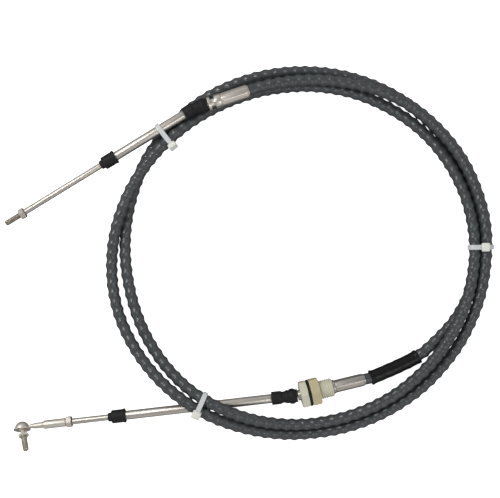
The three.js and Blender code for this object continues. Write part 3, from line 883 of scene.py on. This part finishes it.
def make_rod(context, letter, side, nose, in_tube, nut, past, body):
    sizes = sizes_of(context)
    colours = colours_of(context)
    radius = sizes.rod_diameter / 2
    pitch = sizes.rod_thread_pitch
    inner = nose - SEAL_LENGTH + SEAL_ON_TUBE - in_tube
    start = nut - CLEARANCE
    tip = nut + JAM_NUT_LENGTH + past
    outline = [(inner, 0), (inner, radius), (start - 0.4, radius), (start, radius - 0.4), (start, 0)]
    rod = eased(lathed(outline, sizes.round_sides), 0.3)
    threads = thread_rows(along(0), start - 0.4, tip, radius - 0.08, pitch, 0.55, 0.9)
    threads = [(along(start - 0.4), 0.0), *threads, (along(tip + 0.15), 1.0), (along(tip + 0.2), 0.0)]
    thread = lofted(threads, 24)
    finished(
        placed(two_toned(rod, thread), side), f"ground_rod_{letter}", f"rod_{letter}", body, "steel",
        steel_finish(f"ground_steel_{letter}", shade(colours.steel, 0.82), side, 0.42, turned=False),
        thread_finish(f"cut_thread_{letter}", tuple(colours.thread), side),
    )


class CABLE_OT_rods(Operator):
    """Make the two sliding rods with their threaded ends."""

    bl_idname = "steering_cable.rods"
    bl_label = "Rods"

    def execute(self, context):
        past_b = CLEARANCE + ROD_IN_BARREL
        ends = (
            ("a", SIDE_A, SEAL_NOSE_A, ROD_IN_TUBE_A, JAM_NUT_A, ROD_PAST_NUT_A, "helm_rod"),
            ("b", SIDE_B, SEAL_NOSE_B, ROD_IN_TUBE_B, JAM_NUT_B, past_b, "nozzle_rod"),
        )
        for end in ends:
            make_rod(context, *end)
        return {"FINISHED"}


class CABLE_OT_jam_nuts(Operator):
    """Make the jam nuts on the rod threads."""

    bl_idname = "steering_cable.jam_nuts"
    bl_label = "Jam Nuts"

    def execute(self, context):
        sizes = sizes_of(context)
        steel = tuple(colours_of(context).steel)
        flats = sizes.jam_nut_flats
        bore = sizes.rod_diameter / 2 + 0.1
        ends = (("a", SIDE_A, JAM_NUT_A, "helm_rod"), ("b", SIDE_B, JAM_NUT_B, "nozzle_rod"))
        for letter, side, start, body in ends:
            rows = nut_rows(side, start, start + JAM_NUT_LENGTH, bore, flats, 0.75)
            finish = steel_finish(f"nut_steel_{letter}", shade(steel, 0.85), side, 0.36)
            finished(
                lofted([*rows, rows[0]], 72), f"chamfered_nut_{letter}", f"jam_nut_{letter}", body, "steel",
                finish, sharp=25,
            )
        return {"FINISHED"}


def make_boot(finish, letter, side, hub, on_tube):
    start = side @ Vector((on_tube, 0, 0))
    turn = side @ Vector((max(on_tube * 0.3, 3.0), 0, 0))
    end = hub @ Vector((-CLEARANCE, 0, 0))
    line = spline_through([start, start.lerp(turn, 0.5), turn, end], 0.3)
    length = distances_along(line)[-1]
    shape = (
        (0.0, -0.15), (0.02, 0.0), (0.33, 0.0), (0.37, -0.2), (0.41, -0.85), (0.45, -1.0), (0.5, -0.8),
        (0.56, -0.1), (0.61, 0.1), (0.66, -0.1), (0.72, 0.8), (0.78, 1.15), (0.84, 1.1), (0.9, 0.3),
        (0.95, -0.2), (1.0, 0.0),
    )
    steps = 120
    frames = frames_along(spaced(line, 0, length, steps))
    rows = [(frames[0], BOOT_BORE)]
    for i, place in enumerate(frames):
        share = i / steps
        after = next(k for k, entry in enumerate(shape) if entry[0] >= share or k == len(shape) - 1)
        (low, from_swell), (high, to_swell) = shape[max(after - 1, 0)], shape[after]
        mix = smooth_step(low, high, share) if high > low else 1.0
        rows.append((place, BOOT_CUFF + from_swell + (to_swell - from_swell) * mix))
    rows.append((frames[-1], BOOT_BORE))
    boot = lofted([*rows, rows[0]], 56)
    finished(
        boot, f"folded_boot_{letter}", f"swivel_boot_{letter}", "cable", "black_rubber", finish, sharp=50
    )


class CABLE_OT_boots(Operator):
    """Make the rubber boots that cover the swivels."""

    bl_idname = "steering_cable.boots"
    bl_label = "Swivel Boots"

    def execute(self, context):
        finish = rubber_finish("boot_rubber", tuple(colours_of(context).rubber), 0.6)
        make_boot(finish, "a", SIDE_A, HUB_A, BOOT_ON_TUBE_A)
        make_boot(finish, "b", SIDE_B, HUB_B, BOOT_ON_TUBE_B)
        return {"FINISHED"}


def crimped_octagon(place, start, end, across_flats, turn, hub_end):
    """Octagonal crimp with softly pressed corners, then the end ring."""
    pressed = polygon(8, across_flats, turn, 0.18)
    core = across_flats / 2 - 0.35
    rows = [
        (start, 0.0), (start, core), (start + 0.5, core + 0.25), (start + 1.0, pressed),
        (end - 0.8, pressed), (end - 0.3, core + 0.25), (end, END_RING_RADIUS - 0.25),
        (end + 0.15, END_RING_RADIUS), (hub_end - 0.2, END_RING_RADIUS),
        (hub_end, END_RING_RADIUS - 0.25), (hub_end, 0.0),
    ]
    return lofted([(place @ along(x), radius) for x, radius in rows], 96)


def make_hub_a(sides, finish):
    end_ring = HUB_LENGTH_A - 1.0
    outline = [
        (0, 0), (0, FLANGE_RADIUS - 1.0), (0.5, FLANGE_RADIUS - 0.2), (0.9, FLANGE_RADIUS),
        (FLANGE_LENGTH, FLANGE_RADIUS), (FLANGE_LENGTH, GROOVE_RADIUS), (COLLAR_START, GROOVE_RADIUS),
        (COLLAR_START, COLLAR_RADIUS), (CRIMP_START, COLLAR_RADIUS), (CRIMP_START, 0),
    ]
    body = placed(eased(lathed(outline, sides), 0.25), HUB_A)
    tail = crimped_octagon(HUB_A, CRIMP_START - 0.2, end_ring, CRIMP_FLATS_A, 22.5, HUB_LENGTH_A)
    finished(gathered(body, tail), "crimped_hub_a", "end_hub_a", "cable", "steel", finish, sharp=25)


def make_hub_b(sides, finish):
    ring = FITTING_END + CLEARANCE
    crimp = ring + THRUST_RING_LENGTH
    end_ring = HUB_LENGTH_B - 1.5
    outline = [
        (0, 0), (0, SHANK_RADIUS), (ring, SHANK_RADIUS), (ring, THRUST_RING_RADIUS),
        (crimp, THRUST_RING_RADIUS), (crimp, 0),
    ]
    body = placed(eased(lathed(outline, sides), 0.25), HUB_B)
    tail = crimped_octagon(HUB_B, crimp - 0.2, end_ring, CRIMP_FLATS_B, 0, HUB_LENGTH_B)
    finished(gathered(body, tail), "crimped_hub_b", "end_hub_b", "cable", "steel", finish, sharp=25)


class CABLE_OT_hubs(Operator):
    """Make the steel hubs that are crimped on the ends of the jacket."""

    bl_idname = "steering_cable.hubs"
    bl_label = "End Hubs"

    def execute(self, context):
        sides = sizes_of(context).round_sides
        steel = tuple(colours_of(context).steel)
        make_hub_a(sides, steel_finish("hub_steel_a", steel, HUB_A, 0.4))
        make_hub_b(sides, steel_finish("hub_steel_b", shade(steel, 0.72), HUB_B, 0.4))
        return {"FINISHED"}


def make_fitting(sizes, finish):
    major = sizes.fitting_thread / 2
    head = nut_rows(HUB_B, FITTING_START, FITTING_HEAD_END, FITTING_BORE, FITTING_HEAD_FLATS, 0.8)
    pitch = sizes.fitting_pitch
    thread = thread_rows(HUB_B, FITTING_HEAD_END - 0.5, FITTING_END, major + 0.1, pitch, 0.9, 1.0)
    first = (HUB_B @ along(FITTING_HEAD_END - 0.5), FITTING_BORE)
    shank = [first, *thread, (HUB_B @ along(FITTING_END), FITTING_BORE), first]
    mesh = gathered(lofted([*head, head[0]], 96), lofted(shank, 96))
    finished(mesh, "threaded_fitting", "hull_fitting", "cable", "ivory_plastic", finish, sharp=25)


def make_gasket(sizes, finish):
    start = FITTING_HEAD_END + CLEARANCE
    end = start + GASKET_LENGTH
    inner = sizes.fitting_thread / 2 + CLEARANCE
    outline = [(start, inner), (start, GASKET_RADIUS), (end, GASKET_RADIUS), (end, inner), (start, inner)]
    mesh = placed(eased(lathed(outline, sizes.round_sides), 0.3), HUB_B)
    finished(mesh, "soft_gasket", "hull_gasket", "cable", "black_rubber", finish)


def make_lock_nut(sizes, finish):
    start = FITTING_HEAD_END + GASKET_LENGTH + 2 * CLEARANCE
    inner = sizes.fitting_thread / 2 + CLEARANCE
    rows = nut_rows(HUB_B, start, start + LOCK_NUT_LENGTH, inner, LOCK_NUT_FLATS, 0.8)
    nut = lofted([*rows, rows[0]], 96)
    finished(nut, "moulded_lock_nut", "lock_nut", "cable", "tan_plastic", finish, sharp=25)


class CABLE_OT_fitting(Operator):
    """Make the hull fitting with its gasket and lock nut."""

    bl_idname = "steering_cable.fitting"
    bl_label = "Hull Fitting"

    def execute(self, context):
        sizes = sizes_of(context)
        colours = colours_of(context)
        make_fitting(sizes, moulded_finish("ivory_fitting", tuple(colours.fitting), 0.9))
        make_gasket(sizes, rubber_finish("gasket_rubber", tuple(colours.rubber), 0.7))
        make_lock_nut(sizes, moulded_finish("tan_lock_nut", tuple(colours.lock_nut), 0.88))
        return {"FINISHED"}


def arc(radius, start, end, steps):
    """Points (x, distance from the axis) of a circle, by the angle from the X axis."""
    angles = [math.radians(start + (end - start) * i / steps) for i in range(steps + 1)]
    return [(radius * math.cos(angle), radius * math.sin(angle)) for angle in angles]


def make_socket(sizes, finish):
    room = 3.1
    outline = [
        (SOCKET_START, room), (SOCKET_START, 3.5), (SOCKET_START + 0.8, 4.25), (BARREL_END - 0.9, 4.25),
        (BARREL_END - 0.2, 3.7), (BARREL_END, 2.95), (NECK_ROOT_END - 0.6, 2.9), (NECK_ROOT_END, 2.75),
        (BALL_AT - DOME_RADIUS, 1.75), (BALL_AT - BALL_ROOM - 0.9, 1.7), (BALL_AT - BALL_ROOM - 0.9, 0),
    ]
    bore_end = SOCKET_START + ROD_IN_BARREL + CLEARANCE
    inside = [(bore_end, 0), (bore_end, room), (SOCKET_START, room)]
    stem = placed(eased(lathed([*inside, *outline], sizes.round_sides), 0.2, 30), SIDE_B)
    dome = [(DOME_OFFSET + x, radius) for x, radius in arc(DOME_RADIUS, 180, 90, 12)]
    mouth = math.sqrt(BALL_ROOM ** 2 - MOUTH_START ** 2)
    rim = [
        (BRIM_START, DOME_RADIUS), (BRIM_START, BRIM_RADIUS), (BRIM_END, BRIM_RADIUS),
        (BRIM_END, mouth + 0.5), (MOUTH_START, mouth),
    ]
    cavity = arc(BALL_ROOM, math.degrees(math.asin(mouth / BALL_ROOM)), 180, 12)[1:]
    cup = placed(eased(lathed([*dome, *rim, *cavity], sizes.round_sides), 0.25), SOCKET @ X_TO_Y)
    finished(gathered(stem, cup), "domed_socket", "ball_socket", "nozzle_rod", "steel", finish)


def make_stud(sizes, colours):
    place = STUD @ X_TO_Y
    ball = arc(BALL_RADIUS, 180, math.degrees(math.asin(STUD_NECK_RADIUS / BALL_RADIUS)), 16)
    shank = [*ball, (6.2, STUD_NECK_RADIUS), (7.2, 2.9), (8.4, 3.0), (8.4, 0)]
    turned = lathed(shank, sizes.round_sides)
    collar = lofted(nut_rows(along(0), *STUD_COLLAR, 0.0, STUD_COLLAR_FLATS, 0.6), 72)
    start = STUD_COLLAR[1] - 0.2
    tip = along(STUD_LENGTH + 0.1)
    rows = thread_rows(along(0), start, STUD_LENGTH, 2.92, 1.0, 0.55, 0.9)
    thread = lofted([(along(start), 0.0), *rows, (tip, 1.0), (tip, 0.0)], 24)
    whole = placed(two_toned(gathered(turned, collar), thread), place)
    finished(
        whole, "threaded_ball_stud", "ball_stud", "stud", "steel",
        steel_finish("stud_steel", shade(colours.steel, 1.3), place, 0.5),
        thread_finish("stud_thread", tuple(colours.thread), place), sharp=30,
    )


class CABLE_OT_ball_joint(Operator):
    """Make the domed socket on rod B and the threaded stud with its ball."""

    bl_idname = "steering_cable.ball_joint"
    bl_label = "Ball Joint"

    def execute(self, context):
        sizes = sizes_of(context)
        colours = colours_of(context)
        make_socket(sizes, steel_finish("socket_steel", shade(colours.steel, 1.05), SIDE_B, 0.5))
        make_stud(sizes, colours)
        return {"FINISHED"}


def circles_in_band(plane, strands, sizes):
    """Circles that the strands and tubes leave in the tie's band, on its upright plane."""
    half = sizes.tie_width / 2
    tube = sizes.tube_diameter / 2
    jacket = sizes.jacket_diameter / 2
    tube_a = [SIDE_A @ Vector((x, 0, 0)) for x in range(0, 223)]
    tube_b = [SIDE_B @ Vector((x, 0, 0)) for x in range(0, 278)]
    to_plane = plane.inverted()
    circles = []
    for points, radius in ((strands, jacket), (tube_a, tube), (tube_b, tube)):
        for point in points:
            local = to_plane @ point
            outside = max(abs(local.y) - half, 0)
            if abs(local.x) < 20 and outside < radius:
                circles.append((local.x, local.z, math.sqrt(radius ** 2 - outside ** 2)))
    return circles


def outline_round(circles, margin, count=72):
    """The taut line round circles that are grown by a margin."""
    points = []
    for x, z, radius in circles:
        reach = radius + margin
        for i in range(count):
            angle = 2 * math.pi * i / count
            points.append((x + reach * math.cos(angle), z + reach * math.sin(angle)))
    points.sort()

    def half(run):
        chain = []
        for point in run:
            while len(chain) > 1:
                (ax, az), (bx, bz) = chain[-2], chain[-1]
                if (bx - ax) * (point[1] - az) - (bz - az) * (point[0] - ax) > 1e-6:
                    break
                chain.pop()
            chain.append(point)
        return chain[:-1]

    return half(points) + half(points[::-1])


def make_tie(name, plane, circles, angles, sizes, finishes):
    width = sizes.tie_width
    thickness = sizes.tie_thickness
    mesh = bmesh.new()
    verts = [mesh.verts.new((x, -width / 2, z)) for x, z in outline_round(circles, CLEARANCE)]
    edges = [mesh.edges.new((a, b)) for a, b in zip(verts, [*verts[1:], verts[0]])]
    made = bmesh.ops.extrude_edge_only(mesh, edges=edges)
    moved = [item for item in made["geom"] if isinstance(item, bmesh.types.BMVert)]
    bmesh.ops.translate(mesh, vec=(0, width, 0), verts=moved)
    bmesh.ops.recalc_face_normals(mesh, faces=mesh.faces)
    bmesh.ops.solidify(mesh, geom=mesh.faces[:], thickness=-thickness)
    bmesh.ops.recalc_face_normals(mesh, faces=mesh.faces)
    strap = placed(eased(mesh, 0.35, 60, 3), plane)

    seat_at, head_at = (math.radians(angle) for angle in angles)
    way = Vector((math.cos(seat_at), 0, math.sin(seat_at)))
    seat = max(circles, key=lambda circle: circle[0] * way.x + circle[1] * way.z + circle[2])
    at = plane @ Matrix.Translation((seat[0], 0, seat[1])) @ Matrix.Rotation(-head_at, 4, "Y")
    base = seat[2] + CLEARANCE + 0.2
    whole = two_toned(strap, placed(make_head(base), at))
    finished(whole, f"nylon_{name[6:]}", name, "cable", "nylon", *finishes, sharp=40)


def make_head(base):
    """Head block with well rounded edges, like a small pillow."""
    height, across, length = TIE_HEAD
    head = bmesh.new()
    bmesh.ops.create_cube(head, size=1.0)
    bmesh.ops.scale(head, vec=(height, across, length), verts=head.verts)
    bmesh.ops.translate(head, vec=(base + height / 2, 0, 0), verts=head.verts)
    return eased(head, 1.5, 60, 4)


class CABLE_OT_ties(Operator):
    """Make the three nylon cable ties round the coil."""

    bl_idname = "steering_cable.ties"
    bl_label = "Cable Ties"

    def execute(self, context):
        sizes = sizes_of(context)
        colours = colours_of(context)
        strap = nylon_finish("strap_nylon", tuple(colours.strap))
        finishes = (strap, nylon_finish("milky_nylon", tuple(colours.nylon)))
        strands = spaced(JACKET_LINE, 0, SLEEVE_AT, round(SLEEVE_AT))
        for name, angle, radius, facing, seat_at, head_at in TIES:
            there = Matrix.Translation(at_angle(angle, radius, 0))
            plane = there @ Matrix.Rotation(math.radians(facing), 4, "Z")
            circles = circles_in_band(plane, strands, sizes)
            make_tie(name, plane, circles, (seat_at, head_at), sizes, finishes)
        return {"FINISHED"}


class CABLE_PT_panel(Panel):
    """Lists the makers and settings of the steering cable in the sidebar."""

    bl_idname = "CABLE_PT_panel"
    bl_label = "Boat Steering Cable"
    bl_space_type = "VIEW_3D"
    bl_region_type = "UI"
    bl_category = "Steering Cable"

    def draw(self, context):
        layout = self.layout
        for maker in MAKERS:
            layout.operator(maker.bl_idname)
        for heading, settings in (
            ("Sizes", context.scene.steering_cable_sizes),
            ("Colours", context.scene.steering_cable_colours),
            ("Studio", context.scene.steering_cable_studio),
        ):
            layout.label(text=heading)
            for name in settings.__annotations__:
                layout.prop(settings, name)


SETTINGS = (
    ("steering_cable_sizes", CableSizes),
    ("steering_cable_colours", CableColours),
    ("steering_cable_studio", StudioSettings),
)

MAKERS = (
    CABLE_OT_stage,
    CABLE_OT_jacket,
    CABLE_OT_tubes,
    CABLE_OT_seals,
    CABLE_OT_rods,
    CABLE_OT_jam_nuts,
    CABLE_OT_boots,
    CABLE_OT_hubs,
    CABLE_OT_fitting,
    CABLE_OT_ball_joint,
    CABLE_OT_ties,
)


def register():
    for name, settings in SETTINGS:
        bpy.utils.register_class(settings)
        setattr(bpy.types.Scene, name, PointerProperty(type=settings))
    for maker in (*MAKERS, CABLE_PT_panel):
        bpy.utils.register_class(maker)


def unregister():
    for maker in (CABLE_PT_panel, *reversed(MAKERS)):
        bpy.utils.unregister_class(maker)
    for name, settings in reversed(SETTINGS):
        delattr(bpy.types.Scene, name)
        bpy.utils.unregister_class(settings)


def main():
    register()
    bpy.ops.steering_cable.stage()
    bpy.ops.steering_cable.jacket()
    bpy.ops.steering_cable.tubes()
    bpy.ops.steering_cable.seals()
    bpy.ops.steering_cable.rods()
    bpy.ops.steering_cable.jam_nuts()
    bpy.ops.steering_cable.boots()
    bpy.ops.steering_cable.hubs()
    bpy.ops.steering_cable.fitting()
    bpy.ops.steering_cable.ball_joint()
    bpy.ops.steering_cable.ties()


if __name__ == "__main__":
    main()
